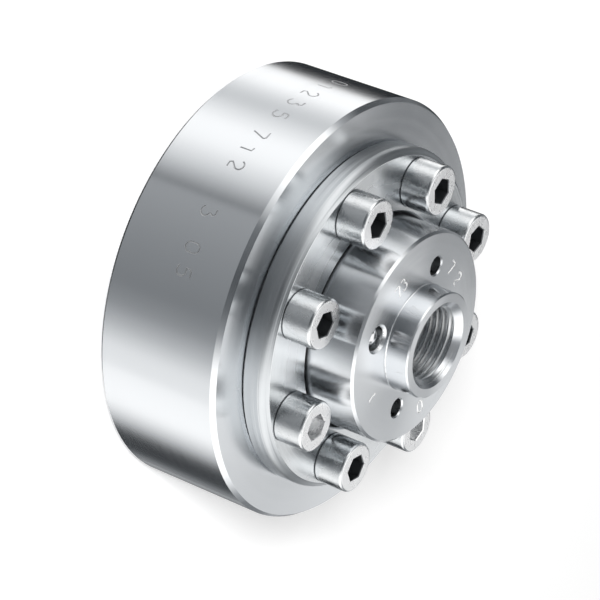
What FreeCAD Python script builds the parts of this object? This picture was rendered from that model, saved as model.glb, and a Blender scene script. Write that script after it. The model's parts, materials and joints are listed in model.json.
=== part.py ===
"""Gauge diaphragm seal with a flanged process block, an upper body with a gauge socket, and a clamp ring.

Sizes are in millimetres. The seal stands on its raised face: the origin is the centre of that face,
and +Z runs along the common axis towards the gauge socket.
"""

import FreeCAD, Part
import math
import os

# Process block: the flange body that bolts to the pipe
block_diameter = 110.0
block_thickness = 35.0
block_front_bevel_width = 0.9
block_front_bevel_depth = 1.25
block_back_bevel = 1.2
raised_face_diameter = 50.8
raised_face_height = 2.0
raised_face_bevel = 0.4
process_bore_diameter = 26.6
process_bore_bevel = 0.5

# Tapped stud holes in the back of the block
stud_circle_diameter = 79.4
stud_count = 4
stud_first_angle = 45.0
stud_drill_diameter = 10.7
stud_mouth_bevel = 1.15
stud_hole_depth = 22.0
drill_point_angle = 118.0

# Pressure chamber under the diaphragm: it ends inside the diaphragm's edge, which rests on its rim
chamber_edge_support = 1.5
chamber_wall = 1.2
chamber_slope = 2.8
chamber_round = 1.0

# Seat that centres the upper body in the block
seat_depth = 6.0
seat_clearance = 0.15
seat_mouth_bevel = 0.4

# O-ring: the cord before it is squeezed, and its groove, with a flat land inside and outside it
seal_cord_diameter = 2.0
seal_inner_land = 0.8
seal_outer_land = 0.9
seal_groove_width = 2.7
seal_groove_depth = 1.5

# Corrugated diaphragm and the bed above it
diaphragm_diameter = 52.0
diaphragm_thickness = 0.2
diaphragm_clearance = 0.1
diaphragm_rim_width = 2.0
diaphragm_flat_centre = 8.0
wave_count = 4
wave_rise = 0.35
fluid_gap = 0.5

# Upper body: its flange ends outside the seal, and its hub stands inside the shoulder that the ring presses
hub_flange_thickness = 6.2
hub_flange_bevel = 0.4
hub_shoulder_width = 2.9
hub_height = 20.5
hub_edge_bevel = 0.6
hub_root_round = 0.5
boss_diameter = 27.5
boss_height = 6.4
boss_edge_bevel = 0.35
boss_root_round = 0.3
hub_turn = 26.2

# Gauge socket, G 1/2 female: the bore is the crest of the thread
socket_bore_diameter = 18.63
socket_mouth_diameter = 22.5
socket_depth = 20.0
pressure_passage_diameter = 4.0

# Holes in the front face of the upper body
spanner_circle_diameter = 36.8
spanner_hole_diameter = 4.8
spanner_mouth_bevel = 0.35
spanner_hole_depth = 6.0
fill_port_radius = 18.9
fill_port_angle = 270.0
fill_port_mouth_diameter = 7.6
fill_port_bore_diameter = 6.2
fill_port_depth = 4.7
fill_channel_diameter = 2.0
fill_seat_angle = 90.0
fill_ball_diameter = 5.8

# Clamp ring, which reaches past the screw heads
ring_rim_width = 2.0
ring_thickness = 7.2
ring_bore_clearance = 0.8
ring_shoulder_width = 1.7
ring_shoulder_depth = 1.6
ring_shoulder_round = 2.0
ring_face_round = 0.3
ring_base_bevel = 0.8
ring_bore_bevel = 0.4
ring_hole_clearance = 0.5

# Socket head cap screws, M8 x 20, with a wall of the block between their holes and the seat
screw_count = 8
screw_hole_wall = 1.4
screw_first_angle = 22.5
screw_diameter = 8.0
screw_length = 20.0
screw_head_diameter = 13.0
screw_head_height = 8.0
screw_head_round = 0.8
screw_head_base_bevel = 0.3
screw_tip_bevel = 0.9
screw_thread_clearance = 0.05
screw_hole_spare_depth = 3.0
screw_hole_mouth_bevel = 0.6
key_across_flats = 6.0
key_depth = 4.5
key_mouth_bevel = 0.25

# Where each key socket stopped when its screw was tightened, in degrees, from the first screw round
key_turns = (11.9, -14.0, 24.0, -22.2, -7.3, 1.4, 6.9, 19.0)

# Heights of the faces that pieces share, measured from the raised face
block_back_height = raised_face_height
block_front_height = block_back_height + block_thickness
seat_height = block_front_height - seat_depth
ring_back_height = seat_height + hub_flange_thickness
ring_front_height = ring_back_height + ring_thickness
hub_front_height = ring_back_height + hub_height
boss_front_height = hub_front_height + boss_height

# Radii that pieces share, from the diaphragm outwards
diaphragm_radius = diaphragm_diameter / 2
rim_inner_radius = diaphragm_radius - diaphragm_rim_width
chamber_radius = diaphragm_radius - chamber_edge_support
seal_inner_radius = diaphragm_radius + seal_inner_land
seal_outer_radius = seal_inner_radius + seal_groove_width
flange_radius = seal_outer_radius + seal_outer_land
hub_radius = flange_radius - hub_shoulder_width
ring_bore_radius = hub_radius + ring_bore_clearance
seat_radius = flange_radius + seat_clearance
tapped_hole_radius = screw_diameter / 2 + screw_thread_clearance
screw_pitch_radius = seat_radius + screw_hole_wall + tapped_hole_radius
ring_radius = screw_pitch_radius + screw_head_diameter / 2 + ring_rim_width

# How far a cutting tool stands past the face that it enters
reach = 1.0


def at(radius, height):
    """A point of a turned section: distance from the axis and height."""
    return FreeCAD.Vector(radius, 0, height)


def around(radius, angle, height=0.0):
    """A point at an angle in degrees on a circle about the axis."""
    turn = math.radians(angle)
    return FreeCAD.Vector(radius * math.cos(turn), radius * math.sin(turn), height)


def spaced(count, first_angle):
    """Angles of a count of like features, evenly round the axis."""
    return [first_angle + 360.0 * number / count for number in range(count)]


def outline(corners, closed=True):
    """Edges through corners of (radius, height), or (radius, height, round) for a rounded corner."""
    points = [at(corner[0], corner[1]) for corner in corners]
    entries = []
    for number, corner in enumerate(corners):
        here = points[number]
        if len(corner) == 2:
            entries.append((here, None, here))
            continue
        to_last = (points[number - 1] - here).normalize()
        to_next = (points[(number + 1) % len(points)] - here).normalize()
        half_angle = to_last.getAngle(to_next) / 2
        size = corner[2]
        centre_line = (to_last + to_next).normalize()
        middle = here + centre_line * (size / math.sin(half_angle) - size)
        setback = size / math.tan(half_angle)
        entries.append((here + to_last * setback, middle, here + to_next * setback))
    edges = []
    for number, (start, middle, end) in enumerate(entries):
        if middle:
            edges.append(Part.Arc(start, middle, end).toShape())
        if closed or number + 1 < len(entries):
            following = entries[(number + 1) % len(entries)][0]
            edges.append(Part.LineSegment(end, following).toShape())
    return edges


def waves(height):
    """Arcs of the corrugation from the flat centre out to the rim, which rise and fall in turn."""
    inner = diaphragm_flat_centre / 2
    step = (rim_inner_radius - inner) / (2 * wave_count)
    edges = []
    for number in range(2 * wave_count):
        start = inner + step * number
        crest = height + wave_rise * (-1) ** number
        arc = Part.Arc(at(start, height), at(start + step / 2, crest), at(start + step, height))
        edges.append(arc.toShape())
    return edges


def turned(edges):
    """Solid of revolution about the axis from the edges of its half section."""
    section = Part.Face(Part.Wire(Part.__sortEdges__(edges)))
    solid = section.revolve(FreeCAD.Vector(0, 0, 0), FreeCAD.Vector(0, 0, 1), 360)
    if solid.Volume < 0:
        solid.reverse()
    return solid


def drill_point(radius):
    """Length of the cone that a drill leaves at the end of its hole."""
    return radius / math.tan(math.radians(drill_point_angle / 2))


def drilled_hole(diameter, depth, mouth_bevel):
    """Tool for a blind hole that goes down from height 0 to a drill point, with a bevelled mouth."""
    radius = diameter / 2
    mouth = radius + mouth_bevel
    tip = -depth - drill_point(radius)
    return turned(outline([
        (0, tip),
        (radius, -depth),
        (radius, -mouth_bevel),
        (mouth, 0),
        (mouth, reach),
        (0, reach),
    ]))


def placed(tool, radius, angle, height, flipped=False):
    """Copy of a tool at a radius, an angle and a height, turned over if it works from below."""
    copy = tool.copy()
    if flipped:
        copy.rotate(FreeCAD.Vector(0, 0, 0), FreeCAD.Vector(1, 0, 0), 180)
    copy.translate(around(radius, angle, height))
    return copy


def make_lower_body():
    """Process block with its raised face, chamber, upper-body seat, seal groove and blind tapped holes."""
    outer = block_diameter / 2
    face = raised_face_diameter / 2
    bore = process_bore_diameter / 2
    groove_floor = seat_height - seal_groove_depth
    slope_foot = seat_height - chamber_wall - chamber_slope
    section = [
        (bore + process_bore_bevel, 0),
        (face - raised_face_bevel, 0),
        (face, raised_face_bevel),
        (face, block_back_height),
        (outer - block_back_bevel, block_back_height),
        (outer, block_back_height + block_back_bevel),
        (outer, block_front_height - block_front_bevel_depth),
        (outer - block_front_bevel_width, block_front_height),
        (seat_radius + seat_mouth_bevel, block_front_height),
        (seat_radius, block_front_height - seat_mouth_bevel),
        (seat_radius, seat_height),
        (seal_outer_radius, seat_height),
        (seal_outer_radius, groove_floor),
        (seal_inner_radius, groove_floor),
        (seal_inner_radius, seat_height),
        (chamber_radius, seat_height),
        (chamber_radius, seat_height - chamber_wall, chamber_round),
        (bore, slope_foot, chamber_round),
        (bore, process_bore_bevel),
    ]
    body = turned(outline(section))
    screw_depth = screw_length - (ring_front_height - block_front_height) + screw_hole_spare_depth
    screw_hole = drilled_hole(2 * tapped_hole_radius, screw_depth, screw_hole_mouth_bevel)
    stud_hole = drilled_hole(stud_drill_diameter, stud_hole_depth, stud_mouth_bevel)
    tools = [
        placed(screw_hole, screw_pitch_radius, angle, block_front_height)
        for angle in spaced(screw_count, screw_first_angle)
    ]
    tools += [
        placed(stud_hole, stud_circle_diameter / 2, angle, block_back_height, flipped=True)
        for angle in spaced(stud_count, stud_first_angle)
    ]
    return body.cut(tools)


def make_clamp_ring():
    """Ring that presses on the flange of the upper body and stays clear of the block."""
    section = [
        (ring_bore_radius, ring_back_height),
        (ring_radius - ring_base_bevel, ring_back_height),
        (ring_radius, ring_back_height + ring_base_bevel),
        (ring_radius, ring_front_height - ring_shoulder_depth, ring_shoulder_round),
        (ring_radius - ring_shoulder_width, ring_front_height, ring_face_round),
        (ring_bore_radius + ring_bore_bevel, ring_front_height),
        (ring_bore_radius, ring_front_height - ring_bore_bevel),
    ]
    ring = turned(outline(section))
    hole_radius = screw_diameter / 2 + ring_hole_clearance
    hole = Part.makeCylinder(hole_radius, ring_thickness + 2 * reach)
    base = ring_back_height - reach
    return ring.cut([
        placed(hole, screw_pitch_radius, angle, base)
        for angle in spaced(screw_count, screw_first_angle)
    ])


def make_fill_port():
    """Tool for the filling port: bevelled mouth, ball bore, conical seat and channel to the diaphragm."""
    bore = fill_port_bore_diameter / 2
    mouth = fill_port_mouth_diameter / 2
    channel = fill_channel_diameter / 2
    seat_drop = (bore - channel) / math.tan(math.radians(fill_seat_angle / 2))
    bed_depth = hub_front_height - seat_height + reach
    return turned(outline([
        (0, -bed_depth),
        (channel, -bed_depth),
        (channel, -fill_port_depth - seat_drop),
        (bore, -fill_port_depth),
        (bore, bore - mouth),
        (mouth, 0),
        (mouth, reach),
        (0, reach),
    ]))


def make_upper_body():
    """Upper body with its flange, boss, gauge socket, corrugated bed, spanner holes and filling port."""
    boss = boss_diameter / 2
    socket = socket_bore_diameter / 2
    mouth = socket_mouth_diameter / 2
    passage = pressure_passage_diameter / 2
    pocket = diaphragm_radius + diaphragm_clearance
    rim_height = seat_height + diaphragm_thickness
    bed_height = rim_height + fluid_gap
    section = [
        (rim_inner_radius, bed_height),
        (rim_inner_radius, rim_height),
        (pocket, rim_height),
        (pocket, seat_height),
        (flange_radius - hub_flange_bevel, seat_height),
        (flange_radius, seat_height + hub_flange_bevel),
        (flange_radius, ring_back_height - hub_flange_bevel),
        (flange_radius - hub_flange_bevel, ring_back_height),
        (hub_radius, ring_back_height, hub_root_round),
        (hub_radius, hub_front_height - hub_edge_bevel),
        (hub_radius - hub_edge_bevel, hub_front_height),
        (boss, hub_front_height, boss_root_round),
        (boss, boss_front_height - boss_edge_bevel),
        (boss - boss_edge_bevel, boss_front_height),
        (mouth, boss_front_height),
        (socket, boss_front_height - (mouth - socket)),
        (socket, boss_front_height - socket_depth),
        (passage, boss_front_height - socket_depth),
        (passage, bed_height),
        (diaphragm_flat_centre / 2, bed_height),
    ]
    body = turned(outline(section, closed=False) + waves(bed_height))
    spanner_hole = drilled_hole(spanner_hole_diameter, spanner_hole_depth, spanner_mouth_bevel)
    tools = [
        placed(spanner_hole, spanner_circle_diameter / 2, angle, hub_front_height)
        for angle in spaced(2, hub_turn)
    ]
    tools.append(placed(make_fill_port(), fill_port_radius, hub_turn + fill_port_angle, hub_front_height))
    return body.cut(tools)


def make_diaphragm():
    """Thin corrugated disc, with its flat rim held between the upper body and the block."""
    flat = diaphragm_flat_centre / 2
    low = seat_height
    high = seat_height + diaphragm_thickness
    edge = diaphragm_radius
    inner = rim_inner_radius
    rim = outline([(inner, low), (edge, low), (edge, high), (inner, high)], closed=False)
    centre = outline([(flat, high), (0, high), (0, low), (flat, low)], closed=False)
    return turned(waves(low) + rim + waves(high) + centre)


def make_seal_ring():
    """O-ring squeezed to the depth of its groove, with the section area of its round cord."""
    height = seal_groove_depth
    cord_area = math.pi * seal_cord_diameter ** 2 / 4
    flat_width = (cord_area - math.pi * height ** 2 / 4) / height
    middle_radius = (seal_inner_radius + seal_outer_radius) / 2
    inner = middle_radius - flat_width / 2
    outer = middle_radius + flat_width / 2
    low = seat_height - height
    middle = seat_height - height / 2
    return turned([
        Part.LineSegment(at(inner, low), at(outer, low)).toShape(),
        Part.Arc(at(outer, low), at(outer + height / 2, middle), at(outer, seat_height)).toShape(),
        Part.LineSegment(at(outer, seat_height), at(inner, seat_height)).toShape(),
        Part.Arc(at(inner, seat_height), at(inner - height / 2, middle), at(inner, low)).toShape(),
    ])


def make_key_socket():
    """Tool for the hexagon socket in a screw head, which enters at height 0 and goes down."""
    corner = key_across_flats / math.sqrt(3)
    points = [around(corner, angle, -key_depth) for angle in spaced(6, 0.0)]
    hexagon = Part.Face(Part.makePolygon(points + points[:1]))
    prism = hexagon.extrude(FreeCAD.Vector(0, 0, key_depth + reach))
    flat = key_across_flats / 2
    point = Part.makeCone(0, flat, drill_point(flat))
    point.translate(FreeCAD.Vector(0, 0, -key_depth - drill_point(flat)))
    mouth = flat + key_mouth_bevel
    bevel = turned(outline([(0, -mouth), (mouth, 0), (mouth, reach), (0, reach)]))
    return prism.fuse([point, bevel]).removeSplitter()


def make_cap_screw():
    """Socket head cap screw with its head seated at height 0 and its shank going down."""
    head = screw_head_diameter / 2
    shank = screw_diameter / 2
    blank = turned(outline([
        (0, -screw_length),
        (shank - screw_tip_bevel, -screw_length),
        (shank, screw_tip_bevel - screw_length),
        (shank, 0),
        (head - screw_head_base_bevel, 0),
        (head, screw_head_base_bevel),
        (head, screw_head_height, screw_head_round),
        (0, screw_head_height),
    ]))
    socket = make_key_socket()
    socket.translate(FreeCAD.Vector(0, 0, screw_head_height))
    return blank.cut(socket)


def make_cap_screws():
    """All the clamp screws, each with its key socket turned to where it stopped."""
    screw = make_cap_screw()
    screws = []
    for angle, turn in zip(spaced(screw_count, screw_first_angle), key_turns):
        copy = screw.copy()
        copy.rotate(FreeCAD.Vector(0, 0, 0), FreeCAD.Vector(0, 0, 1), turn)
        copy.translate(around(screw_pitch_radius, angle, ring_front_height))
        screws.append(copy)
    return Part.makeCompound(screws)


def make_fill_ball():
    """Steel ball pressed down on the conical seat of the filling port."""
    radius = fill_ball_diameter / 2
    half_angle = math.radians(fill_seat_angle / 2)
    bore = fill_port_bore_diameter / 2
    cone_tip = hub_front_height - fill_port_depth - bore / math.tan(half_angle)
    centre = around(fill_port_radius, hub_turn + fill_port_angle, cone_tip + radius / math.sin(half_angle))
    return Part.makeSphere(radius, centre)


pieces = {
    "lower_body": make_lower_body,
    "clamp_ring": make_clamp_ring,
    "upper_body": make_upper_body,
    "diaphragm": make_diaphragm,
    "seal_ring": make_seal_ring,
    "cap_screws": make_cap_screws,
    "fill_ball": make_fill_ball,
}

os.makedirs("parts", exist_ok=True)
for name, make in pieces.items():
    shape = make()
    if not shape.isValid():
        raise ValueError(name + " is not a valid solid")
    shape.exportStep(os.path.join("parts", name + ".step"))
    print(name, len(shape.Solids), "solid(s)", round(shape.Volume / 1000, 2), "cm3")
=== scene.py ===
"""Looks of the gauge diaphragm seal, built round its packed CAD solids.

Lengths in the code are in metres, and are written in millimetres where a comment or a name says mm.
"""

import json
import math

import bmesh
import bpy
import numpy as np
from mathutils import Matrix, Vector, interpolate
from mathutils.bvhtree import BVHTree


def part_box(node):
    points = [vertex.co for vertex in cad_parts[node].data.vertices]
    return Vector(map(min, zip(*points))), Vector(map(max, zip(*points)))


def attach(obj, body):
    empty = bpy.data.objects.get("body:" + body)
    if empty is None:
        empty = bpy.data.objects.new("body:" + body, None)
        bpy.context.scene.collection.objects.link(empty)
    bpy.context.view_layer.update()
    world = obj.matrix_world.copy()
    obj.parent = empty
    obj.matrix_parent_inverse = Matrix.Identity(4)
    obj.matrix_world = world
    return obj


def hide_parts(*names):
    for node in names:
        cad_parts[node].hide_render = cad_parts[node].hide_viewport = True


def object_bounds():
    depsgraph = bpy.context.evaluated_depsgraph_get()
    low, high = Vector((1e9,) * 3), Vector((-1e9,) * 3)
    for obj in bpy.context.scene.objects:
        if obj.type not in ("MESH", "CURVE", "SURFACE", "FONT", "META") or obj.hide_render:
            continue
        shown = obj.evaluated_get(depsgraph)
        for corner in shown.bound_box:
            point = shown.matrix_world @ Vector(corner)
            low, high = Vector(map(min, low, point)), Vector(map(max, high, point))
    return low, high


bl_info = {
    "name": "Gauge diaphragm seal",
    "version": (1, 0, 0),
    "blender": (4, 5, 0),
    "location": "3D View > Sidebar > Seal",
    "description": "Builds the visible pieces, finishes and studio of a gauge diaphragm seal",
    "category": "Object",
}

MM = 0.001
# Corners of CAD triangles this close are one point, and an edge of a mesh this short is none
CAD_WELD = 1e-6
NO_LENGTH = 1e-7
# A face lies on a CAD surface if its middle is this near and it faces the same way, within about a degree
ON_SURFACE = 2e-6
SAME_WAY = 0.9998
# Thread cutters start this far off their wall, in the open air, and tests for a wall reach this far into it
MARGIN = 0.1 * MM

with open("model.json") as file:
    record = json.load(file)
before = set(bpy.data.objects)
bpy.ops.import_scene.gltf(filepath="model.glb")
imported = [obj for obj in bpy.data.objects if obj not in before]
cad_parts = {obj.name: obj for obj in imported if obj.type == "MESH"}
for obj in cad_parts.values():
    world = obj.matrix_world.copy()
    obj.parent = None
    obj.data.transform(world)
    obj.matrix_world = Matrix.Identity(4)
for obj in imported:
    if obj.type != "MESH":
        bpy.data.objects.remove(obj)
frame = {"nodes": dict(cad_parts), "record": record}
CAD_BOX = [list(corner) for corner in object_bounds()]


def mount(name):
    """Sizes of a mount in the packed record, in metres, and its place."""
    found = next(entry for entry in frame["record"]["mounts"] if entry["name"] == name)
    sizes = {key[:-3]: value * MM for key, value in found["dims"].items() if key.endswith("_mm")}
    return sizes, Vector(found["pos_m"])


def polar(radius, turn, height):
    """A point by its distance from the axis, its bearing and its height."""
    return radius * math.cos(turn), radius * math.sin(turn), height


def linear(hex_colour):
    """Linear colour of an sRGB hex value, with full alpha."""
    shares = [int(hex_colour[place:place + 2], 16) / 255 for place in (1, 3, 5)]
    return tuple(s / 12.92 if s <= 0.04045 else ((s + 0.055) / 1.055) ** 2.4 for s in shares) + (1.0,)


def length(name, description, mm):
    """A length property with its default in millimetres."""
    return bpy.props.FloatProperty(
        name=name, description=description, default=mm * MM, unit="LENGTH", precision=5)


def colour(name, description, hex_colour):
    """A colour property with its default as an sRGB hex value."""
    return bpy.props.FloatVectorProperty(
        name=name, description=description, default=linear(hex_colour), size=4, subtype="COLOR",
        min=0, max=1)


def angle(name, description, degrees):
    """An angle property with its default in degrees."""
    return bpy.props.FloatProperty(
        name=name, description=description, default=math.radians(degrees), unit="ROTATION")


def amount(name, description, value):
    """A number property that can't fall below zero."""
    return bpy.props.FloatProperty(name=name, description=description, default=value, min=0)


class SealThreads(bpy.types.PropertyGroup):
    """Threads that the solids leave as plain holes and shanks"""

    gauge_pitch: length("Gauge thread pitch", "Pitch of the G 1/2 thread in the socket", 1.814)
    gauge_major: length("Gauge thread depth radius", "Radius at the bottom of the thread's grooves", 10.4775)
    gauge_length: length("Gauge thread length", "How far the grooves go down from the boss", 17.5)
    stud_pitch: length("Stud thread pitch", "Pitch of the half inch stud threads", 1.954)
    stud_major: length("Stud thread depth radius", "Radius at the bottom of the stud threads' grooves", 6.35)
    stud_length: length("Stud thread length", "How far the stud threads go into the block", 19.0)
    screw_pitch: length("Screw thread pitch", "Pitch of the M8 thread", 1.25)
    screw_minor: length("Screw thread root radius", "Radius at the bottom of the M8 thread's grooves", 3.25)
    screw_thread: length("Screw thread length", "Length of the screw's rolled thread", 18.0)


class SealMarks(bpy.types.PropertyGroup):
    """Plain numerals cut into the steel"""

    block_height: length("Block numeral height", "Height of the numerals on the side of the block", 4.2)
    block_base: length("Block numeral line", "Height of the numerals' foot above the process face", 20.2)
    block_stroke: length("Block stroke radius", "Radius of the tool that cuts the block's numerals", 0.35)
    block_stand: length("Block tool height", "How far the tool's centre stays outside the block", 0.26)
    hub_height: length("Hub numeral height", "Height of the stamps on the face of the hub", 3.4)
    hub_rise: length("Hub face height", "How far the hub's face lies above its spanner holes' walls", 0.35)
    hub_stroke: length("Hub stroke radius", "Radius of the tool that cuts the stamps of the hub", 0.28)
    hub_stand: length("Hub tool height", "How far the tool's centre stays above the hub", 0.1)


class SealScrews(bpy.types.PropertyGroup):
    """Socket head cap screws that hold the clamp ring"""

    count: bpy.props.IntProperty(name="Screws", description="Number of clamp screws", default=8, min=3)
    pitch_radius: length("Pitch radius", "Distance of each screw from the axis", 36.0)
    seat: length("Seat height", "Height of the face under the heads", 44.4)
    head_radius: length("Head radius", "Radius of a head", 6.5)
    head_height: length("Head height", "Height of a head", 8.0)
    head_round: length("Head rounding", "Rounding of the head's front edge", 0.8)
    shank_radius: length("Shank radius", "Radius of the shank", 4.0)
    shank_length: length("Shank length", "Length of the shank", 20.0)
    tip_bevel: length("Tip bevel", "Bevel at the end of the shank", 0.9)
    key_flats: length("Key across flats", "Width of the hexagon socket across its flats", 6.0)
    key_depth: length("Key depth", "Depth of the hexagon socket", 4.5)
    key_bevel: length("Key bevel", "How far the bevel at the mouth passes the flats of the hexagon", 0.2)
    # The dark line on this bevel is painted shade
    foot_bevel: length("Foot bevel", "Bevel at the foot of the head, which holds a dark line of oil", 0.24)


class SealFinish(bpy.types.PropertyGroup):
    """Colours and finishes of the steels and the rubber"""

    turned: colour("Turned steel", "Colour of the turned stainless steel", "#D6D9DC")
    ring: colour("Ring steel", "Colour of the side of the clamp ring", "#BCC0C3")
    ring_face: colour("Ring face", "Colour of the clamp ring's front face, and of the cut threads", "#DBDEE0")
    screw: colour("Screw steel", "Colour of the screws", "#D1D4D6")
    # This colour also paints light into the key sockets of the marked screws
    front: colour("Screw fronts", "Colour of the screws' tumbled fronts and bright key sockets", "#E6E7E8")
    # Painted shade: the dark colour in most key sockets and in the line under the heads
    socket: colour("Painted socket shade", "Colour of the film in dark key sockets and under the heads", "#6C6F72")
    ball: colour("Ball steel", "Colour of the polished ball", "#DCDDDF")
    foil: colour("Foil steel", "Colour of the diaphragm", "#D6D7D6")
    rubber: colour("Seal rubber", "Colour of the O-ring", "#1B1B1C")
    mark: colour("Etched marks", "Colour of the etched grooves of the numerals", "#B4B6B8")
    stamp: colour("Stamps", "Colour of the bruised steel in the stamps of the hub", "#F6F7F7")
    # Painted shade: the dark colour in the holes of the hub
    drilled: colour("Drilled steel", "Colour of the oily film in the holes of the hub", "#A6A9AB")


class SealStudio(bpy.types.PropertyGroup):
    """Camera and lights"""

    lens: amount("Focal length", "Focal length for a 36 mm wide image, in millimetres", 171.54)
    distance: length("Camera distance", "Distance from the camera to the point it looks at", 715.44)
    azimuth: angle("Camera azimuth", "Direction of the camera from the axis, from +X round to +Y", -75.584)
    elevation: angle("Camera elevation", "Height of the camera above the horizon", 29.824)
    roll: angle("Camera roll", "Turn of the camera about its own line of sight", 111.058)
    aim: bpy.props.FloatVectorProperty(
        name="Aim", description="Point that the camera looks at", default=(2.6 * MM, -3.3 * MM, 25.3 * MM),
        subtype="TRANSLATION", unit="LENGTH")
    key_azimuth: angle("Key lamp azimuth", "Direction of the key lamp from the axis", 277.0)
    key_elevation: angle("Key lamp elevation", "Height of the key lamp above the horizon", 28.0)
    key_distance: length("Key lamp distance", "Distance from the key lamp to the point it faces", 1100.0)
    key_size: length("Key lamp size", "Width of the key lamp", 180.0)
    key_power: amount("Key lamp power", "Power in watts", 13.0)
    sky_fill: amount("Sky fill", "Strength of the white world on dull surfaces", 0.56)
    floor: colour("Floor", "Colour of the floor", "#F2F2F2")
    floor_glow: amount("Floor glow", "What the floor adds for the camera, so that it looks white", 0.24)


def add_node(tree, kind, inputs=None, stops=None, **settings):
    """Adds a node with its settings, the stops of its ramp, and its inputs by name or number.

    An input is a value, a socket, or a node that gives its first output.
    """
    node = tree.nodes.new(kind)
    for name, value in settings.items():
        setattr(node, name, value)
    if stops:
        ramp = node.color_ramp
        for number, (place, tone) in enumerate(stops):
            element = ramp.elements[number] if number < 2 else ramp.elements.new(place)
            element.position = place
            element.color = tone
    for key, value in (inputs or {}).items():
        if isinstance(key, int):
            socket = node.inputs[key]
        else:
            socket = next(entry for entry in node.inputs if entry.name == key and entry.enabled)
        if isinstance(value, bpy.types.Node):
            value = next(entry for entry in value.outputs if entry.enabled)
        if isinstance(value, bpy.types.NodeSocket):
            tree.links.new(value, socket)
        else:
            socket.default_value = value
    return node


# Materials


def new_material(name):
    """An empty material with its node tree."""
    material = bpy.data.materials.new(name)
    material.use_nodes = True
    material.node_tree.nodes.clear()
    return material, material.node_tree


# Patches and shallow swells of turned steel to a metre: they are about 14 mm and 6 mm wide
PATCHES, SWELLS = 70.0, 160.0


def turned_steel(name, base, roughness, spread, anisotropy, feed, depth, cloud=0.0):
    """Stainless steel worked on a lathe: grooves round the axis stretch its highlights across them.

    roughness is the mean, spread how far it wanders in patches, feed the width of a groove and depth its
    height. cloud is the height of the swells. Real feed marks, 0.1 mm apart, or 0.3 mm on the ring, are too
    fine to show in the render, so they are drawn three to four times as coarse.
    """
    material, tree = new_material(name)
    place = add_node(tree, "ShaderNodeTexCoord").outputs["Object"]
    parts = add_node(tree, "ShaderNodeSeparateXYZ", {"Vector": place})
    flat = add_node(tree, "ShaderNodeCombineXYZ", {"X": parts.outputs["X"], "Y": parts.outputs["Y"]})
    radius = add_node(tree, "ShaderNodeVectorMath", {0: flat}, operation="LENGTH")
    # Grooves depend on the radius and the height alone, so they are rings on faces and walls alike
    ring_place = add_node(tree, "ShaderNodeCombineXYZ", {
        "X": radius.outputs["Value"], "Y": parts.outputs["Z"]})
    grooves = add_node(tree, "ShaderNodeTexNoise", {
        "Vector": ring_place, "Scale": 1 / feed, "Detail": 2.0, "Roughness": 0.6}, noise_dimensions="2D")
    # A streak is about eight grooves wide
    streaks = add_node(tree, "ShaderNodeTexNoise", {
        "Vector": ring_place, "Scale": 0.12 / feed, "Detail": 3.0}, noise_dimensions="2D")
    patches = add_node(tree, "ShaderNodeTexNoise", {"Vector": place, "Scale": PATCHES, "Detail": 3.0})
    wander = add_node(tree, "ShaderNodeMath", {0: streaks, 1: patches}, operation="ADD")
    rough = add_node(tree, "ShaderNodeMapRange", {
        "Value": wander, "From Min": 0.7, "From Max": 1.3,
        "To Min": roughness - spread, "To Max": roughness + spread})
    bump = add_node(tree, "ShaderNodeBump", {"Strength": 1.0, "Distance": depth, "Height": grooves})
    if cloud:
        swell = add_node(tree, "ShaderNodeTexNoise", {"Vector": place, "Scale": SWELLS, "Detail": 2.0})
        bump = add_node(tree, "ShaderNodeBump", {"Distance": cloud, "Height": swell, "Normal": bump})
    # The tangent runs along the grooves. A quarter turn from it, highlights stretch across them
    round_way = add_node(
        tree, "ShaderNodeVectorMath", {0: (0.0, 0.0, 1.0), 1: flat}, operation="CROSS_PRODUCT")
    shader = add_node(tree, "ShaderNodeBsdfPrincipled", {
        "Base Color": base, "Metallic": 1.0, "Roughness": rough, "Normal": bump,
        "Anisotropic": anisotropy, "Anisotropic Rotation": 0.25, "Tangent": round_way})
    add_node(tree, "ShaderNodeOutputMaterial", {"Surface": shader})
    return material


def plain_steel(name, base, roughness, spread, grain, depth):
    """Steel with no direction in its finish: an even grain, and patches where it is smoother or rougher.

    grain is the width of a grain. A real one is too fine to show in the render, so it is 0.3 mm or more here.
    A patch is four grains wide.
    """
    material, tree = new_material(name)
    place = add_node(tree, "ShaderNodeTexCoord").outputs["Object"]
    skin = add_node(tree, "ShaderNodeTexNoise", {"Vector": place, "Scale": 1 / grain, "Detail": 4.0})
    patches = add_node(tree, "ShaderNodeTexNoise", {"Vector": place, "Scale": 0.25 / grain, "Detail": 2.0})
    rough = add_node(tree, "ShaderNodeMapRange", {
        "Value": patches, "From Min": 0.35, "From Max": 0.65,
        "To Min": roughness - spread, "To Max": roughness + spread})
    bump = add_node(tree, "ShaderNodeBump", {"Distance": depth, "Height": skin})
    shader = add_node(tree, "ShaderNodeBsdfPrincipled", {
        "Base Color": base, "Metallic": 1.0, "Roughness": rough, "Normal": bump})
    add_node(tree, "ShaderNodeOutputMaterial", {"Surface": shader})
    return material


def moulded_rubber(name, base):
    """Nitrile rubber from a mould: nearly black, and dull with a fine grain."""
    material, tree = new_material(name)
    place = add_node(tree, "ShaderNodeTexCoord").outputs["Object"]
    # The grain of a mould is too fine to show in the render, so it is drawn 0.4 mm wide
    grain = add_node(tree, "ShaderNodeTexNoise", {"Vector": place, "Scale": 1 / (0.4 * MM), "Detail": 3.0})
    rough = add_node(tree, "ShaderNodeMapRange", {"Value": grain, "To Min": 0.5, "To Max": 0.75})
    bump = add_node(tree, "ShaderNodeBump", {"Distance": 0.02 * MM, "Height": grain})
    shader = add_node(tree, "ShaderNodeBsdfPrincipled", {
        "Base Color": base, "Roughness": rough, "Normal": bump, "IOR": 1.52})
    add_node(tree, "ShaderNodeOutputMaterial", {"Surface": shader})
    return material


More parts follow.
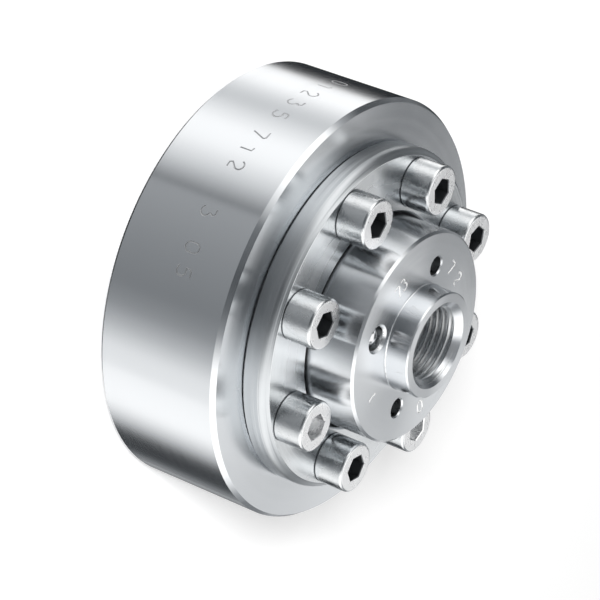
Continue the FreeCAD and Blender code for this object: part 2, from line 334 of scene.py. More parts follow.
def material_of(name):
    """A material of the seal by its name, made when it is first asked for."""
    if name in bpy.data.materials:
        return bpy.data.materials[name]
    finish = bpy.context.scene.seal_finish
    kinds = {
        # Fine turned 316L: bright and dark bands lie along the axis, with crisp edges
        "Turned stainless block": (turned_steel, dict(
            base=finish.turned, roughness=0.185, spread=0.012, anisotropy=0.95,
            feed=0.30 * MM, depth=0.0006 * MM)),
        # The hub's marks are deeper and its roughness wanders more, so faint rings show on its face
        "Turned stainless hub": (turned_steel, dict(
            base=finish.turned, roughness=0.205, spread=0.03, anisotropy=0.96,
            feed=0.32 * MM, depth=0.001 * MM)),
        # The flanks of the threads show the tool's chatter more than its feed, and glint unevenly
        "Cut stainless thread": (turned_steel, dict(
            base=finish.ring_face, roughness=0.24, spread=0.05, anisotropy=0.5,
            feed=0.35 * MM, depth=0.004 * MM)),
        # Etching leaves a dull groove, a little darker than the steel beside it
        "Etched stainless": (plain_steel, dict(
            base=finish.mark, roughness=0.55, spread=0.05, grain=0.3 * MM, depth=0.01 * MM)),
        # A stamp bruises the steel, which scatters light and looks paler than the face
        "Stamped stainless": (plain_steel, dict(
            base=finish.stamp, roughness=0.5, spread=0.08, grain=0.3 * MM, depth=0.02 * MM)),
        # Painted shade: the walls of the hub's holes are darkened, so the holes look dark
        "Drilled stainless": (plain_steel, dict(
            base=finish.drilled, roughness=0.3, spread=0.08, grain=0.4 * MM, depth=0.02 * MM)),
        # Painted shade: a dark line on the bevel at the foot of each head, where it meets the ring
        "Oiled joint": (plain_steel, dict(
            base=finish.socket, roughness=0.4, spread=0.08, grain=0.4 * MM, depth=0.01 * MM)),
        # The side of the ring is roughed by a coarse feed: dull, with broad streaks round it
        "Rough turned ring side": (turned_steel, dict(
            base=finish.ring, roughness=0.36, spread=0.08, anisotropy=0.4,
            feed=1.2 * MM, depth=0.2 * MM, cloud=0.03 * MM)),
        # Its front is faced, then tumbled, which clouds its reflections
        "Faced stainless ring": (turned_steel, dict(
            base=finish.ring_face, roughness=0.25, spread=0.06, anisotropy=0.7,
            feed=0.9 * MM, depth=0.02 * MM, cloud=0.03 * MM)),
        # Cold heading leaves the sides smooth and a little wavy, so their highlights break up
        "Cold headed stainless screw": (plain_steel, dict(
            base=finish.screw, roughness=0.22, spread=0.07, grain=0.5 * MM, depth=0.035 * MM)),
        # Tumbling peens the fronts of the heads, which look frosted beside the smooth sides
        "Tumbled screw front": (plain_steel, dict(
            base=finish.front, roughness=0.3, spread=0.06, grain=0.35 * MM, depth=0.09 * MM)),
        # Painted shade: the walls of most key sockets are darkened, so they look nearly black
        "Scaled key socket": (plain_steel, dict(
            base=finish.socket, roughness=0.45, spread=0.1, grain=0.4 * MM, depth=0.01 * MM)),
        # Painted light: a pale, mottled copy of the socket finish, for sockets that catch light
        "Bright key socket": (plain_steel, dict(
            base=finish.front, roughness=0.28, spread=0.08, grain=0.4 * MM, depth=0.06 * MM)),
        # A lapped bearing ball mirrors its hole almost sharply
        "Polished steel ball": (plain_steel, dict(
            base=finish.ball, roughness=0.07, spread=0.02, grain=0.8 * MM, depth=0.0005 * MM)),
        # Rolling leaves foil nearly as bright as a mirror, with soft edges in its reflections
        "Rolled stainless foil": (plain_steel, dict(
            base=finish.foil, roughness=0.16, spread=0.03, grain=0.5 * MM, depth=0.002 * MM)),
        # Rubber takes nearly all light, and its grain blurs the rest into a dull sheen
        "Moulded nitrile rubber": (moulded_rubber, dict(base=finish.rubber)),
    }
    maker, values = kinds[name]
    return maker(name, **values)


# Meshes


def new_object(name, mesh):
    """An object for a mesh, linked to the scene."""
    piece = bpy.data.objects.new(name, mesh)
    bpy.context.scene.collection.objects.link(piece)
    return piece


def mesh_from(name, points, edges=(), faces=()):
    """A mesh from its points, edges and faces."""
    mesh = bpy.data.meshes.new(name)
    mesh.from_pydata([tuple(point) for point in points], list(edges), list(faces))
    mesh.update()
    return mesh


def merged_copy(node, name, *finishes):
    """A copy of a CAD node in new materials, with its loose triangles joined so that it can be cut."""
    work = bmesh.new()
    work.from_mesh(frame["nodes"][node].data)
    bmesh.ops.remove_doubles(work, verts=work.verts, dist=CAD_WELD)
    bmesh.ops.dissolve_degenerate(work, edges=work.edges, dist=NO_LENGTH)
    mesh = bpy.data.meshes.new(name)
    work.to_mesh(mesh)
    work.free()
    # The normals of the loose triangles no longer fit their joined corners
    for layer in list(mesh.attributes):
        if layer.name == "custom_normal":
            mesh.attributes.remove(layer)
    mesh.materials.clear()
    for finish in finishes:
        mesh.materials.append(material_of(finish))
    return new_object(name, mesh)


def plain_mesh(piece):
    """Turns a piece with modifiers into a plain mesh, and takes the modifiers off."""
    bpy.context.view_layer.update()
    ready = piece.evaluated_get(bpy.context.evaluated_depsgraph_get())
    mesh = bpy.data.meshes.new_from_object(ready)
    piece.modifiers.clear()
    mesh.name = piece.name
    piece.data = mesh
    return piece


def cut(piece, cutters):
    """Cuts solids out of a piece. New faces take the cutter's material, and the cutters are deleted."""
    for cutter in cutters:
        knife = piece.modifiers.new(cutter.name, "BOOLEAN")
        knife.operation = "DIFFERENCE"
        knife.solver = "MANIFOLD"
        knife.object = cutter
        knife.material_mode = "TRANSFER"
    before = len(piece.data.polygons)
    plain_mesh(piece)
    if len(piece.data.polygons) <= before:
        raise RuntimeError(piece.name + " was not cut")
    for cutter in cutters:
        bpy.data.objects.remove(cutter)


def outward(piece):
    """Points the faces of a closed piece outwards."""
    work = bmesh.new()
    work.from_mesh(piece.data)
    bmesh.ops.remove_doubles(work, verts=work.verts, dist=NO_LENGTH)
    bmesh.ops.recalc_face_normals(work, faces=work.faces)
    work.to_mesh(piece.data)
    work.free()
    return piece


def turned(name, section, segments):
    """Closed solid of revolution about Z from its section of (radius, height), axis to axis."""
    work = bmesh.new()
    rows = []
    for radius, height in section:
        if radius == 0:
            rows.append([work.verts.new((0, 0, height))])
            continue
        rows.append([
            work.verts.new(polar(radius, turn, height))
            for turn in np.arange(segments) * 2 * math.pi / segments])
    for low, high in zip(rows, rows[1:]):
        for number in range(segments):
            after = (number + 1) % segments
            # A row on the axis is one point, which all its faces share
            corners = [row[place % len(row)] for row, place in (
                (low, number), (low, after), (high, after), (high, number))]
            work.faces.new(list(dict.fromkeys(corners)))
    bmesh.ops.recalc_face_normals(work, faces=work.faces)
    mesh = bpy.data.meshes.new(name)
    work.to_mesh(mesh)
    work.free()
    return new_object(name, mesh)


def arc(centre, radius, start, end, steps):
    """Points of an arc, from one angle in degrees to another."""
    turns = np.radians(np.linspace(start, end, steps))
    return [(centre[0] + radius * math.cos(turn), centre[1] + radius * math.sin(turn)) for turn in turns]


def keep_cad_normals(piece, node):
    """Gives faces that still lie on the CAD surface that surface's own normals, so walls stay smooth."""
    source = frame["nodes"][node].data
    points = [vertex.co.copy() for vertex in source.vertices]
    faces = [tuple(face.vertices) for face in source.polygons]
    starts = [face.loop_start for face in source.polygons]
    corner_normals = [corner.vector.copy() for corner in source.corner_normals]
    surface = BVHTree.FromPolygons(points, faces)
    mesh = piece.data
    mesh.shade_smooth()
    mesh.set_sharp_from_angle(angle=math.radians(30))
    normals = [(0.0, 0.0, 0.0)] * len(mesh.loops)
    for face in mesh.polygons:
        centre = face.center.copy()
        _, facing, _, gap = surface.find_nearest(centre)
        if gap > ON_SURFACE or facing.dot(face.normal) < SAME_WAY:
            continue
        for corner in face.loop_indices:
            point = mesh.vertices[mesh.loops[corner].vertex_index].co
            # Looked up a little inside the face, because several CAD triangles meet at its corner
            _, _, index, _ = surface.find_nearest(point.lerp(centre, 0.02))
            triangle = faces[index]
            weights = interpolate.poly_3d_calc([points[vertex] for vertex in triangle], point)
            blend = Vector()
            for number, weight in enumerate(weights):
                blend += corner_normals[starts[index] + number] * weight
            normals[corner] = blend.normalized()
    mesh.normals_split_custom_set(normals)


# Geometry Nodes


def new_tree(name, lengths=()):
    """A geometry tree that takes geometry, named lengths and a material, and gives geometry."""
    tree = bpy.data.node_groups.new(name, "GeometryNodeTree")
    tree.interface.new_socket("Geometry", in_out="INPUT", socket_type="NodeSocketGeometry")
    tree.interface.new_socket("Geometry", in_out="OUTPUT", socket_type="NodeSocketGeometry")
    for label in lengths:
        socket = tree.interface.new_socket(label, in_out="INPUT", socket_type="NodeSocketFloat")
        socket.subtype = "DISTANCE"
    tree.interface.new_socket("Material", in_out="INPUT", socket_type="NodeSocketMaterial")
    return tree, add_node(tree, "NodeGroupInput")


def end_tree(tree, geometry, material, selection=True):
    """Ends a geometry tree: makes its instances real, and gives the selected faces their material."""
    real = add_node(tree, "GeometryNodeRealizeInstances", {"Geometry": geometry})
    dressed = add_node(tree, "GeometryNodeSetMaterial", {
        "Geometry": real, "Selection": selection, "Material": material})
    add_node(tree, "NodeGroupOutput", {"Geometry": dressed})
    return tree


def thread_tree():
    """Tree that winds a thread's cutter on each point: a groove along a helix that fades out at both ends."""
    tree, given = new_tree("Thread cutter", ("Pitch", "Length", "Open radius"))
    tree.interface.new_socket("Profile", in_out="INPUT", socket_type="NodeSocketObject")
    size = given.outputs
    turns = add_node(tree, "ShaderNodeMath", {0: size["Length"], 1: size["Pitch"]}, operation="DIVIDE")
    # Reversed, the spiral climbs counterclockwise, so the thread is right-handed
    helix = add_node(tree, "GeometryNodeCurveSpiral", {
        "Resolution": 72, "Rotations": turns, "Start Radius": size["Open radius"],
        "End Radius": size["Open radius"], "Height": size["Length"], "Reverse": True})
    level = add_node(tree, "GeometryNodeSetCurveNormal", {"Curve": helix}, mode="Z_UP")
    section = add_node(tree, "GeometryNodeObjectInfo", {"Object": size["Profile"]}).outputs["Geometry"]
    groove = add_node(tree, "GeometryNodeMeshToCurve", {"Mesh": section})
    # Over its first and last 3 % the groove grows from a tenth of its section and shrinks back to it
    along = add_node(tree, "GeometryNodeSplineParameter").outputs["Factor"]
    entry = add_node(tree, "ShaderNodeMapRange", {
        "Value": along, "From Min": 0.0, "From Max": 0.03, "To Min": 0.1, "To Max": 1.0})
    ending = add_node(tree, "ShaderNodeMapRange", {
        "Value": along, "From Min": 0.97, "From Max": 1.0, "To Min": 1.0, "To Max": 0.1})
    fade = add_node(tree, "ShaderNodeMath", {0: entry, 1: ending}, operation="MULTIPLY")
    solid = add_node(tree, "GeometryNodeCurveToMesh", {
        "Curve": level, "Profile Curve": groove, "Scale": fade, "Fill Caps": True})
    wound = add_node(tree, "GeometryNodeInstanceOnPoints", {"Points": size["Geometry"], "Instance": solid})
    return end_tree(tree, wound, size["Material"])


def stroke_tree():
    """Tree that runs a round cutting tool along the strokes of the numerals."""
    tree, given = new_tree("Numeral cutter", ("Tool radius", "Corner radius"))
    size = given.outputs
    strokes = add_node(tree, "GeometryNodeMeshToCurve", {"Mesh": size["Geometry"]})
    soft = add_node(tree, "GeometryNodeFilletCurve", {
        "Curve": strokes, "Radius": size["Corner radius"], "Limit Radius": True}, mode="POLY")
    tool = add_node(tree, "GeometryNodeCurvePrimitiveCircle", {
        "Resolution": 10, "Radius": size["Tool radius"]})
    solid = add_node(tree, "GeometryNodeCurveToMesh", {
        "Curve": soft, "Profile Curve": tool, "Fill Caps": True})
    return end_tree(tree, solid, size["Material"])


def screw_tree():
    """Tree that stands a screw on each point, turned as its key left it, and paints light into marked
    sockets.
    """
    tree, given = new_tree("Clamp screws")
    tree.interface.new_socket("Screw", in_out="INPUT", socket_type="NodeSocketObject")
    tree.interface.new_socket("Scaled socket", in_out="INPUT", socket_type="NodeSocketMaterial")
    size = given.outputs
    screw = add_node(tree, "GeometryNodeObjectInfo", {"Object": size["Screw"]})
    key_turn, bright = (
        add_node(tree, "GeometryNodeInputNamedAttribute", {"Name": name}, data_type="FLOAT").outputs[0]
        for name in ("key_turn", "bright"))
    turn = add_node(tree, "FunctionNodeAxisAngleToRotation", {"Axis": (0.0, 0.0, 1.0), "Angle": key_turn})
    stood = add_node(tree, "GeometryNodeInstanceOnPoints", {
        "Points": size["Geometry"], "Instance": screw.outputs["Geometry"], "Rotation": turn})
    dark_socket_paint = add_node(tree, "GeometryNodeMaterialSelection", {"Material": size["Scaled socket"]})
    marked = add_node(tree, "FunctionNodeCompare", {"A": bright, "B": 0.5}, operation="GREATER_THAN")
    both = add_node(tree, "FunctionNodeBooleanMath", {0: dark_socket_paint, 1: marked}, operation="AND")
    return end_tree(tree, stood, size["Material"], both)


def grow(piece, tree, values):
    """Runs a geometry tree on a piece with its inputs set, and leaves a plain mesh."""
    modifier = piece.modifiers.new(tree.name, "NODES")
    modifier.node_group = tree
    for item in tree.interface.items_tree:
        if item.in_out == "INPUT" and item.name in values:
            modifier[item.identifier] = values[item.name]
    return plain_mesh(piece)


# Half section of a thread's groove: shares of its depth and of the pitch. Its flare rounds the crests.
GROOVE = [(0.0, 0.485), (0.1, 0.46), (0.25, 0.38), (0.92, 0.12), (1.0, 0.05)]


def thread_cutter(name, points, pitch, thread_length, open_radius, root_radius, material):
    """Cutter of a thread that starts at each point and goes up."""
    tree = bpy.data.node_groups.get("Thread cutter") or thread_tree()
    # On the helix, the X of a section points away from the axis
    depth = root_radius - open_radius
    side = [(depth * sunk, pitch * half, 0) for sunk, half in GROOVE]
    corners = side + [(x, -y, 0) for x, y, _ in reversed(side)]
    edges = [(number, (number + 1) % len(corners)) for number in range(len(corners))]
    profile = new_object(name + "_section", mesh_from(name + "_section", corners, edges))
    cutter = new_object(name, mesh_from(name, points))
    grow(cutter, tree, {
        "Pitch": pitch, "Length": thread_length, "Open radius": open_radius,
        "Profile": profile, "Material": material})
    bpy.data.objects.remove(profile)
    return outward(cutter)


# Strokes of the numerals that are used, in a box one high: (x, y) points, and True for a closed stroke
NUMERALS = {
    "0": (arc((0.3, 0.68), 0.3, 0, 180, 9) + arc((0.3, 0.32), 0.3, 180, 360, 9), True),
    "1": ([(0.12, 0.8), (0.34, 1.0), (0.34, 0.0)], False),
    "2": (arc((0.3, 0.7), 0.3, 165, -35, 10) + [(0.0, 0.0), (0.6, 0.0)], False),
    "3": ([(0.03, 1.0), (0.56, 1.0), (0.27, 0.6)] + arc((0.28, 0.3), 0.3, 70, -150, 11), False),
    "5": ([(0.54, 1.0), (0.1, 1.0), (0.06, 0.56)] + arc((0.27, 0.32), 0.32, 118, -145, 12), False),
    "7": ([(0.0, 1.0), (0.58, 1.0), (0.2, 0.0)], False),
}
# The middle of that box
NUMERAL_X, NUMERAL_Y = 0.3, 0.5


def stroke_cutter(name, marks, place, tool_radius, material):
    """Cutter for a row of marks. place gives the point for a mark's entry and a point of its box."""
    points, edges = [], []
    for mark in marks:
        stroke, closed = NUMERALS[mark[0]]
        first = len(points)
        points += [place(mark, x, y) for x, y in stroke]
        edges += [(number, number + 1) for number in range(first, len(points) - 1)]
        if closed:
            edges.append((len(points) - 1, first))
    tree = bpy.data.node_groups.get("Numeral cutter") or stroke_tree()
    cutter = new_object(name, mesh_from(name, points, edges))
    # A corner is wider than the tool, so that the cutter doesn't fold there
    grow(cutter, tree, {
        "Tool radius": tool_radius, "Corner radius": 1.3 * tool_radius, "Material": material})
    return outward(cutter)


def dress(piece, node):
    """Makes a finished piece ride on the part in place of its CAD node."""
    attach(piece, "root")
    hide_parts(node)


class SEAL_OT_block(bpy.types.Operator):
    """Process block with threads in its stud holes and plain numerals round its side"""

    bl_idname = "seal.block"
    bl_label = "Process block"

    # Where the stud holes are, in degrees from +X, and each numeral with its own bearing
    stud_turns = (45, 135, 225, 315)
    numerals = (
        ("0", 214.5), ("1", 221.0), ("2", 227.5), ("3", 234.0), ("5", 240.5), ("7", 249.1),
        ("1", 254.6), ("2", 259.8), ("3", 274.0), ("0", 283.6), ("5", 289.9),
    )

    def execute(self, context):
        threads, marks = context.scene.seal_threads, context.scene.seal_marks
        sizes, place = mount("flange_studs")
        block = merged_copy("lower_body", "process_block", "Turned stainless block")
        # The groove fades in below the back face, and ends no higher than the seat of the upper body
        lead = 1.5 * threads.stud_pitch
        foot = place.z - lead
        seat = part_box("upper_body")[0].z
        circle = sizes["pcd"] / 2
        points = [polar(circle, turn, foot) for turn in np.radians(self.stud_turns)]
        studs = thread_cutter(
            "stud_threads", points, threads.stud_pitch, min(threads.stud_length + lead, seat - foot),
            sizes["hole_r"] - MARGIN, threads.stud_major, material_of("Cut stainless thread"))
        radius = -CAD_BOX[0][1]

        def on_side(mark, x, y):
            turn = math.radians(mark[1]) + (x - NUMERAL_X) * marks.block_height / radius
            return polar(radius + marks.block_stand, turn, marks.block_base + y * marks.block_height)

        numerals = stroke_cutter(
            "block_numerals", self.numerals, on_side, marks.block_stroke, material_of("Etched stainless"))
        cut(block, [studs, numerals])
        keep_cad_normals(block, "lower_body")
        dress(block, "lower_body")
        return {"FINISHED"}


def paint_hole_shade(hub, mouth):
    """Paints shade on the walls of the spanner holes and of the filling port, below their mouths."""
    sizes, _ = mount("spanner_holes")
    low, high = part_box("fill_ball")
    ball = (low + high) / 2
    # A circle this much wider than the ball takes in the port's wall
    port_gap = 0.4 * MM
    holes = [(ball, (high.x - low.x) / 2 + port_gap)]
    # The spanner holes face each other, a quarter turn from the port
    turn = math.atan2(ball.y, ball.x) + math.pi / 2
    for way in (1, -1):
        middle = Vector(polar(way * sizes["pcd"] / 2, turn, 0))
        holes.append((middle, sizes["hole_r"] + MARGIN))
    hub.data.materials.append(material_of("Drilled stainless"))
    for face in hub.data.polygons:
        if face.center.z < mouth and any(
                (face.center - middle).xy.length < radius for middle, radius in holes):
            face.material_index = len(hub.data.materials) - 1


class SEAL_OT_hub(bpy.types.Operator):
    """Upper body with the gauge thread in its socket and small stamps on its face"""

    bl_idname = "seal.hub"
    bl_label = "Upper body"

    # Each stamp, with its bearing in degrees from +X and its distance from the axis in mm
    stamps = (
        ("7", 182.3, 19.6), ("2", 166.6, 19.7), ("3", 250.1, 19.2), ("7", 257.6, 19.1),
        ("0", 58.2, 21.9), ("1", 343.9, 20.5),
    )
    # How far the thread's cutter starts inside the bore
    bore_margin = 0.12 * MM

    def execute(self, context):
        threads, marks = context.scene.seal_threads, context.scene.seal_marks
        sizes, _ = mount("gauge_socket")
        face = mount("spanner_holes")[1].z + marks.hub_rise
        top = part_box("upper_body")[1].z
        hub = merged_copy("upper_body", "gauge_hub", "Turned stainless hub")
        # The groove runs out above the boss, so that it doesn't fade where it can be seen
        lead = 0.6 * threads.gauge_pitch
        thread = thread_cutter(
            "gauge_thread", [(0, 0, top - threads.gauge_length)], threads.gauge_pitch,
            threads.gauge_length + lead, sizes["r"] - self.bore_margin, threads.gauge_major,
            material_of("Cut stainless thread"))

        def on_face(mark, x, y):
            radius = mark[2] * MM + (y - NUMERAL_Y) * marks.hub_height
            turn = math.radians(mark[1]) - (x - NUMERAL_X) * marks.hub_height / (mark[2] * MM)
            return polar(radius, turn, face + marks.hub_stand)

        stamps = stroke_cutter(
            "hub_stamps", self.stamps, on_face, marks.hub_stroke, material_of("Stamped stainless"))
        cut(hub, [thread, stamps])
        paint_hole_shade(hub, face - marks.hub_rise)
        keep_cad_normals(hub, "upper_body")
        dress(hub, "upper_body")
        return {"FINISHED"}


def screw_blank(size):
    """A screw without its key socket and thread. The underside of its head is at height zero."""
    tip, top, edge = -size.shank_length, size.head_height, size.head_radius
    section = [
        (0, tip), (size.shank_radius - size.tip_bevel, tip), (size.shank_radius, tip + size.tip_bevel),
        (size.shank_radius, 0), (edge - size.foot_bevel, 0), (edge, size.foot_bevel)]
    section += arc((edge - size.head_round, top - size.head_round), size.head_round, 0, 90, 9)
    section.append((0, top))
    return turned("cap_screw", section, 96)


def key_cutter(size):
    """Cutter of a key socket: a drilled point, a hexagon, and a bevel that goes on 1 mm above the head."""
    top, flats = size.head_height, size.key_flats / 2
    floor = top - size.key_depth
    corner = size.key_flats / math.sqrt(3)
    mouth = corner + (size.key_bevel + MM) * corner / flats
    point_depth, point_radius = 0.6 * flats, 1.02 * flats
    return turned("key_socket", [
        (0, floor - point_depth), (point_radius, floor), (corner, floor), (corner, top - size.key_bevel),
        (mouth, top + MM), (0, top + MM)], 6)


def finish_screw(screw, size, satin):
    """Frosts the front of the head, paints shade on the bevel at its foot, and smooths what is round."""
    for name in ("Tumbled screw front", "Oiled joint"):
        screw.data.materials.append(material_of(name))
    slots = list(screw.data.materials)
    frosted, joint_shade = len(slots) - 2, len(slots) - 1
    # Just below the flat front, and just above the underside
    front, underside = size.head_height - 0.05 * size.head_round, 0.1 * size.foot_bevel
    for face in screw.data.polygons:
        if slots[face.material_index] != satin:
            continue
        if face.center.z > front:
            face.material_index = frosted
        # Painted shade on the bevel at the foot of the head
        elif underside < face.center.z < size.foot_bevel:
            face.material_index = joint_shade
    screw.data.shade_smooth()
    screw.data.set_sharp_from_angle(angle=math.radians(32))
    level = screw.modifiers.new("Even faces", "WEIGHTED_NORMAL")
    level.keep_sharp = True
    plain_mesh(screw)


class SEAL_OT_screws(bpy.types.Operator):
    """Socket head cap screws round the clamp ring, each turned as its key left it"""

    bl_idname = "seal.screws"
    bl_label = "Clamp screws"

    # Where each hexagon stopped, in degrees from +X, and the screws whose sockets get painted light
    key_turns = (11.9, -14.0, 24.0, -22.2, -7.3, 1.4, 6.9, 19.0)
    bright = (1, 7)
    # Where the first screw is, in degrees from +X
    first_angle = 22.5

    def execute(self, context):
        size, threads = context.scene.seal_screws, context.scene.seal_threads
        satin, dark_socket_paint = material_of("Cold headed stainless screw"), material_of("Scaled key socket")
        screw, prism = screw_blank(size), key_cutter(size)
        screw.data.materials.append(satin)
        # The socket's walls get painted shade
        prism.data.materials.append(dark_socket_paint)
        # The groove starts one turn below the tip
        lead = threads.screw_pitch
        groove = thread_cutter(
            "screw_thread", [(0, 0, -size.shank_length - lead)], threads.screw_pitch,
            threads.screw_thread + lead, size.shank_radius + MARGIN, threads.screw_minor, satin)
        cut(screw, [prism, groove])
        finish_screw(screw, size, satin)

        numbers = range(size.count)
        turns = [math.radians(self.first_angle + 360 * number / size.count) for number in numbers]
        mesh = mesh_from("clamp_screws", [polar(size.pitch_radius, turn, size.seat) for turn in turns])
        stops = [math.radians(self.key_turns[number % len(self.key_turns)]) for number in numbers]
        # Marked screws get painted light in their sockets, the rest painted shade
        painted_lit = [float(number in self.bright) for number in numbers]
        for label, values in (("key_turn", stops), ("bright", painted_lit)):
            mesh.attributes.new(label, "FLOAT", "POINT").data.foreach_set("value", values)
        screws = new_object("clamp_screws", mesh)
        grow(screws, screw_tree(), {
            "Screw": screw, "Scaled socket": dark_socket_paint, "Material": material_of("Bright key socket")})
        bpy.data.objects.remove(screw)
        dress(screws, "cap_screws")
        return {"FINISHED"}


class SEAL_OT_ring(bpy.types.Operator):
    """Clamp ring with a rough turned side and a faced front"""

    bl_idname = "seal.ring"
    bl_label = "Clamp ring"

    # The bevel at the foot takes the paler finish of the front, painted light that softens the dark line at
    # the ring's foot, and the flat front starts this near to the top
    foot_bevel = 0.8 * MM
    front_edge = 0.05 * MM

    def execute(self, context):
        ring = merged_copy("clamp_ring", "pressure_ring", "Rough turned ring side", "Faced stainless ring")
        rough, faced = range(len(ring.data.materials))
        back, front = (corner.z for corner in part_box("clamp_ring"))
        for face in ring.data.polygons:
            on_side = back + self.foot_bevel < face.center.z < front - self.front_edge
            face.material_index = rough if on_side else faced
        keep_cad_normals(ring, "clamp_ring")
        dress(ring, "clamp_ring")
        return {"FINISHED"}


class SEAL_OT_carried(bpy.types.Operator):
    """Finishes for the pieces whose solids are shown as they are"""

    bl_idname = "seal.carried"
    bl_label = "Diaphragm, O-ring and ball"

    finishes = {
        "diaphragm": "Rolled stainless foil",
        "seal_ring": "Moulded nitrile rubber",
        "fill_ball": "Polished steel ball",
    }

    def execute(self, context):
        for node, name in self.finishes.items():
            for slot in frame["nodes"][node].material_slots:
                slot.material = material_of(name)
        return {"FINISHED"}


def around(point, distance, azimuth, elevation):
    """A place at a distance from a point, by its azimuth and elevation."""
    return point + Vector(polar(distance * math.cos(elevation), azimuth, distance * math.sin(elevation)))


def tone(level):
    """A grey of the studio as a linear colour: a little blue if darker than white, and warm if brighter."""
    return (level ** 1.03, level, level ** 0.97, 1.0)


# Boxes and flags that the side of the block sees: bearings in degrees from +X, and levels
LOW_ROW = (
    (0, 1.3), (24, 1.45), (37, 0.75), (46, 0.05), (66, 0.05), (74, 0.25), (84, 0.5), (94, 0.03),
    (147, 0.02), (152, 1.5), (170, 1.5), (181, 1.0), (191, 0.72), (201, 1.1), (213, 1.45), (226, 1.35),
    (240, 0.88), (254.4, 0.22), (255.6, 0.46), (284, 0.36), (312, 0.28), (324, 0.36), (336, 0.64),
    (348, 1.08),
)
# Boxes and flags higher up, which the faces, bevels and screws see
HIGH_ROW = (
    (0, 1.85), (36, 1.75), (44, 1.2), (52, 0.55), (60, 0.3), (74, 0.3), (84, 0.95), (103, 0.95),
    (107, 0.08), (120, 0.3), (130, 0.35), (146, 0.2), (160, 0.1), (176, 0.1), (190, 0.6),
    (200, 1.8), (226, 1.8), (244, 0.95), (258, 0.2), (290, 0.1), (308, 0.16), (322, 0.35),
    (334, 1.1), (346, 1.85),
)
# Levels of the roof, and of a round box over the far side whose edge lies across the front faces
ROOF, FAR_BOX = 0.6, 1.3
# Where that box is, and how far its soft edge reaches from its middle, in degrees
FAR_AZIMUTH, FAR_ELEVATION = 104, 62
FAR_INNER, FAR_OUTER = 24, 33


def studio_world(sky_fill):
    """White for the camera and the floor. Metal sees soft boxes and flags that stand round the part."""
    world = bpy.data.worlds.new("Studio")
    world.use_nodes = True
    tree = world.node_tree
    tree.nodes.clear()
    way = add_node(tree, "ShaderNodeTexCoord").outputs["Generated"]
    parts = add_node(tree, "ShaderNodeSeparateXYZ", {"Vector": way})
    turn = add_node(
        tree, "ShaderNodeMath", {0: parts.outputs["Y"], 1: parts.outputs["X"]}, operation="ARCTAN2")
    turns = add_node(tree, "ShaderNodeMath", {0: turn, 1: 1 / (2 * math.pi)}, operation="MULTIPLY")
    bearing = add_node(tree, "ShaderNodeMath", {0: turns}, operation="FRACT")
    low, high = (
        add_node(tree, "ShaderNodeValToRGB", {"Fac": bearing}, stops=[
            (degrees / 360, tone(level)) for degrees, level in row])
        for row in (LOW_ROW, HIGH_ROW))
    # The rows blend from 16 to 2 degrees below the horizon, and the roof fades in from 57 to 79 above it
    height = parts.outputs["Z"]
    rise = add_node(tree, "ShaderNodeMapRange", {
        "Value": height, "From Min": -0.28, "From Max": -0.04}, interpolation_type="SMOOTHSTEP")
    sides = add_node(tree, "ShaderNodeMix", {
        "Factor": rise, "A": low, "B": high}, data_type="RGBA")
    roof = add_node(tree, "ShaderNodeMapRange", {
        "Value": height, "From Min": 0.84, "From Max": 0.98}, interpolation_type="SMOOTHSTEP")
    roofed = add_node(tree, "ShaderNodeMix", {
        "Factor": roof, "A": sides, "B": tone(ROOF)}, data_type="RGBA")
    box_middle = around(Vector(), 1.0, math.radians(FAR_AZIMUTH), math.radians(FAR_ELEVATION))
    box_way = add_node(tree, "ShaderNodeVectorMath", {0: way, 1: box_middle}, operation="DOT_PRODUCT")
    box_edge = add_node(tree, "ShaderNodeMapRange", {
        "Value": box_way.outputs["Value"], "From Min": math.cos(math.radians(FAR_OUTER)),
        "From Max": math.cos(math.radians(FAR_INNER))}, interpolation_type="SMOOTHSTEP")
    studio = add_node(tree, "ShaderNodeMix", {
        "Factor": box_edge, "A": roofed, "B": tone(FAR_BOX)}, data_type="RGBA")
    rays = add_node(tree, "ShaderNodeLightPath")
    mirrored = add_node(tree, "ShaderNodeMath", {
        0: rays.outputs["Is Glossy Ray"], 1: rays.outputs["Is Transmission Ray"]}, operation="MAXIMUM")
    shown = add_node(tree, "ShaderNodeMix", {
        "Factor": mirrored, "A": tone(1.0), "B": studio}, data_type="RGBA")
    dimmed = add_node(tree, "ShaderNodeMapRange", {
        "Value": rays.outputs["Is Diffuse Ray"], "To Min": 1.0, "To Max": sky_fill})
    light = add_node(tree, "ShaderNodeBackground", {"Color": shown, "Strength": dimmed})
    add_node(tree, "ShaderNodeOutputWorld", {"Surface": light})
    bpy.context.scene.world = world


def floor_paper(base, glow_level):
    """Matt white paper: it looks white to the camera where no shadow lies, and keeps the part's shadow."""
    material, tree = new_material("White paper floor")
    rays = add_node(tree, "ShaderNodeLightPath")
    paper = add_node(tree, "ShaderNodeBsdfDiffuse", {"Color": base})
    glow = add_node(tree, "ShaderNodeEmission", {"Color": tone(1.0), "Strength": glow_level})
    lit = add_node(tree, "ShaderNodeAddShader", {0: paper, 1: glow})
    seen = add_node(tree, "ShaderNodeMixShader", {0: rays.outputs["Is Camera Ray"], 1: paper, 2: lit})
    add_node(tree, "ShaderNodeOutputMaterial", {"Surface": seen})
    return material


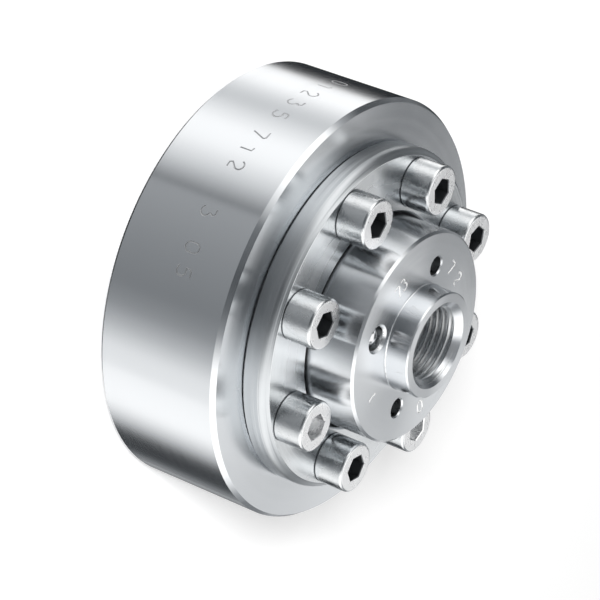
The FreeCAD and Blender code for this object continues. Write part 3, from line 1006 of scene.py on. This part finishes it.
class SEAL_OT_stage(bpy.types.Operator):
    """Floor, world, key lamp and camera"""

    bl_idname = "seal.stage"
    bl_label = "Studio"

    # The floor is a disc of this radius and with so many sides, which lies a hair below the part
    floor_radius = 4.0
    floor_sides = 96
    floor_drop = 0.02 * MM

    def execute(self, context):
        scene, studio = context.scene, context.scene.seal_studio
        turns = np.linspace(0, 2 * math.pi, self.floor_sides, endpoint=False)
        rim = [polar(self.floor_radius, turn, -self.floor_drop) for turn in turns]
        floor = new_object("floor", mesh_from("floor", rim, faces=[tuple(range(len(rim)))]))
        floor.data.materials.append(floor_paper(studio.floor, studio.floor_glow))
        floor.visible_glossy = False
        studio_world(studio.sky_fill)

        aim = Vector(studio.aim)
        lamp = bpy.data.lights.new("key_lamp", "AREA")
        lamp.size = studio.key_size
        lamp.energy = studio.key_power
        key = bpy.data.objects.new("key_lamp", lamp)
        key.location = around(aim, studio.key_distance, studio.key_azimuth, studio.key_elevation)
        key.rotation_euler = (aim - key.location).to_track_quat("-Z", "Y").to_euler()
        key.visible_glossy = False
        scene.collection.objects.link(key)

        view = bpy.data.cameras.new("camera")
        view.lens = studio.lens
        view.sensor_width = 36
        view.clip_start = 0.01
        camera = bpy.data.objects.new("camera", view)
        camera.location = around(aim, studio.distance, studio.azimuth, studio.elevation)
        upright = (aim - camera.location).to_track_quat("-Z", "Y").to_matrix()
        camera.rotation_euler = (upright @ Matrix.Rotation(studio.roll, 3, "Z")).to_euler()
        scene.collection.objects.link(camera)
        scene.camera = camera
        scene.view_settings.view_transform = "Standard"
        return {"FINISHED"}


class SEAL_PT_panel(bpy.types.Panel):
    """The seal's pieces and their sizes, in the sidebar"""

    bl_label = "Gauge diaphragm seal"
    bl_idname = "SEAL_PT_panel"
    bl_space_type = "VIEW_3D"
    bl_region_type = "UI"
    bl_category = "Seal"

    def draw(self, context):
        for operator in OPERATORS:
            self.layout.operator(operator.bl_idname)
        for name, group in GROUPS.items():
            box = self.layout.box()
            box.label(text=group.__doc__)
            for prop in group.__annotations__:
                box.prop(getattr(context.scene, name), prop)


GROUPS = {
    "seal_threads": SealThreads,
    "seal_marks": SealMarks,
    "seal_screws": SealScrews,
    "seal_finish": SealFinish,
    "seal_studio": SealStudio,
}
OPERATORS = (SEAL_OT_block, SEAL_OT_hub, SEAL_OT_ring, SEAL_OT_screws, SEAL_OT_carried, SEAL_OT_stage)


def register():
    for kind in (*GROUPS.values(), *OPERATORS, SEAL_PT_panel):
        bpy.utils.register_class(kind)
    for name, group in GROUPS.items():
        setattr(bpy.types.Scene, name, bpy.props.PointerProperty(type=group))


def unregister():
    for name in GROUPS:
        delattr(bpy.types.Scene, name)
    for kind in reversed((*GROUPS.values(), *OPERATORS, SEAL_PT_panel)):
        bpy.utils.unregister_class(kind)


def main():
    register()
    bpy.ops.seal.block()
    bpy.ops.seal.hub()
    bpy.ops.seal.ring()
    bpy.ops.seal.screws()
    bpy.ops.seal.carried()
    bpy.ops.seal.stage()


if __name__ == "__main__":
    main()
